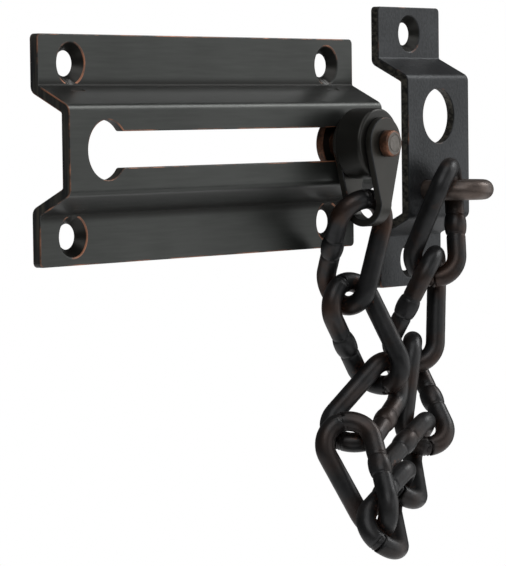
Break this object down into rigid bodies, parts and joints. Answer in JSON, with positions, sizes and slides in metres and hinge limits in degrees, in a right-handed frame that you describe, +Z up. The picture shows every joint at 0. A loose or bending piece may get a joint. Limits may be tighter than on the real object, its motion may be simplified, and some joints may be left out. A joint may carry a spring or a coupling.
{
  "type": "door chain",
  "caption": "Door chain with a folded keyhole slide plate, a keeper plate and a hanging chain of twisted links in dark bronze.",
  "frame": {"origin": "middle of the slide plate's four screw holes, on the plane against the door", "axes": "+X along the slide plate towards the keeper, -Y out from the door, +Z up"},
  "size_m": [0.1349, 0.0303, 0.1151],
  "materials": {
    "slide_bronze": "satin dark bronze, copper worn edges",
    "keeper_bronze": "matte dark bronze, fine texture",
    "fitting_bronze": "satin dark bronze",
    "stud_copper": "rubbed copper brown",
    "chain_bronze": "semi-gloss dark bronze, worn brown at the contacts"
  },
  "bodies": {
    "plates": {"slide_plate": "slide_bronze", "keeper_plate": "keeper_bronze", "staple": "chain_bronze"},
    "slider": {"slide_stud": "stud_copper", "spacer": "fitting_bronze"},
    "stirrup": {"stirrup": "fitting_bronze"},
    "link_1": {"link_1": "chain_bronze"},
    "link_2": {"link_2": "chain_bronze"},
    "link_3": {"link_3": "chain_bronze"},
    "link_4": {"link_4": "chain_bronze"},
    "link_5": {"link_5": "chain_bronze"},
    "link_6": {"link_6": "chain_bronze"},
    "link_7": {"link_7": "chain_bronze"},
    "link_8": {"link_8": "chain_bronze"},
    "link_9": {"link_9": "chain_bronze"}
  },
  "joints": [
    {"name": "stud_slide", "type": "slide", "parent": "plates", "child": "slider", "axis": [1, 0, 0], "range_m": [-0.07735, 0]},
    {"name": "stirrup_swing", "type": "hinge", "parent": "slider", "child": "stirrup", "pos_m": [0.03775, -0.015, 0], "axis": [0, 1, 0], "range_deg": [-44.3, 5]},
    {"name": "link_9_swing", "type": "hinge", "parent": "plates", "child": "link_9", "pos_m": [0.06735, -0.01535, -0.0106], "axis": [0, 1, 0], "range_deg": [-5, 50.5]},
    {"name": "link_8_swing", "type": "hinge", "parent": "link_9", "child": "link_8", "pos_m": [0.06526, -0.01214, -0.02958], "axis": [-0.5538, 0.8047, 0.214], "range_deg": [-5.2, 5]},
    {"name": "link_7_swing", "type": "hinge", "parent": "link_8", "child": "link_7", "pos_m": [0.0626, -0.00768, -0.04829], "axis": [-0.6986, 0.6968, 0.1628], "range_deg": [-35.9, 5]},
    {"name": "link_6_swing", "type": "hinge", "parent": "link_7", "child": "link_6", "pos_m": [0.06053, -0.01261, -0.06262], "axis": [0.2684, 0.7178, -0.6424], "range_deg": [-41.2, 5]},
    {"name": "link_5_swing", "type": "hinge", "parent": "link_6", "child": "link_5", "pos_m": [0.04425, -0.01858, -0.07133], "axis": [0.0696, 0.5766, -0.814], "range_deg": [-17.1, 5]},
    {"name": "link_4_swing", "type": "hinge", "parent": "link_5", "child": "link_4", "pos_m": [0.02773, -0.02527, -0.0795], "axis": [0.096, 0.6756, -0.731], "range_deg": [-39.8, 5]},
    {"name": "link_3_swing", "type": "hinge", "parent": "link_4", "child": "link_3", "pos_m": [0.03124, -0.01235, -0.06215], "axis": [-0.2286, 0.8372, 0.4968], "range_deg": [-5, 26.2]},
    {"name": "link_2_swing", "type": "hinge", "parent": "link_3", "child": "link_2", "pos_m": [0.0476, -0.01289, -0.05165], "axis": [0.1377, 0.9532, -0.2692], "range_deg": [-5, 14.2]},
    {"name": "link_1_swing", "type": "hinge", "parent": "link_2", "child": "link_1", "pos_m": [0.04023, -0.00601, -0.03409], "axis": [0.1258, 0.9298, 0.346], "range_deg": [-26.3, 5]}
  ],
  "couplings": [
    {"joint": "stirrup_swing", "follows": "stud_slide", "rad_per_m": 8.8576},
    {"joint": "link_9_swing", "follows": "stud_slide", "rad_per_m": -10.274},
    {"joint": "link_8_swing", "follows": "stud_slide", "rad_per_m": 0.03831},
    {"joint": "link_7_swing", "follows": "stud_slide", "rad_per_m": 6.9742},
    {"joint": "link_6_swing", "follows": "stud_slide", "rad_per_m": 8.1577},
    {"joint": "link_5_swing", "follows": "stud_slide", "rad_per_m": 2.7266},
    {"joint": "link_4_swing", "follows": "stud_slide", "rad_per_m": 7.8422},
    {"joint": "link_3_swing", "follows": "stud_slide", "rad_per_m": -4.7913},
    {"joint": "link_2_swing", "follows": "stud_slide", "rad_per_m": -2.084},
    {"joint": "link_1_swing", "follows": "stud_slide", "rad_per_m": 4.801}
  ]
}
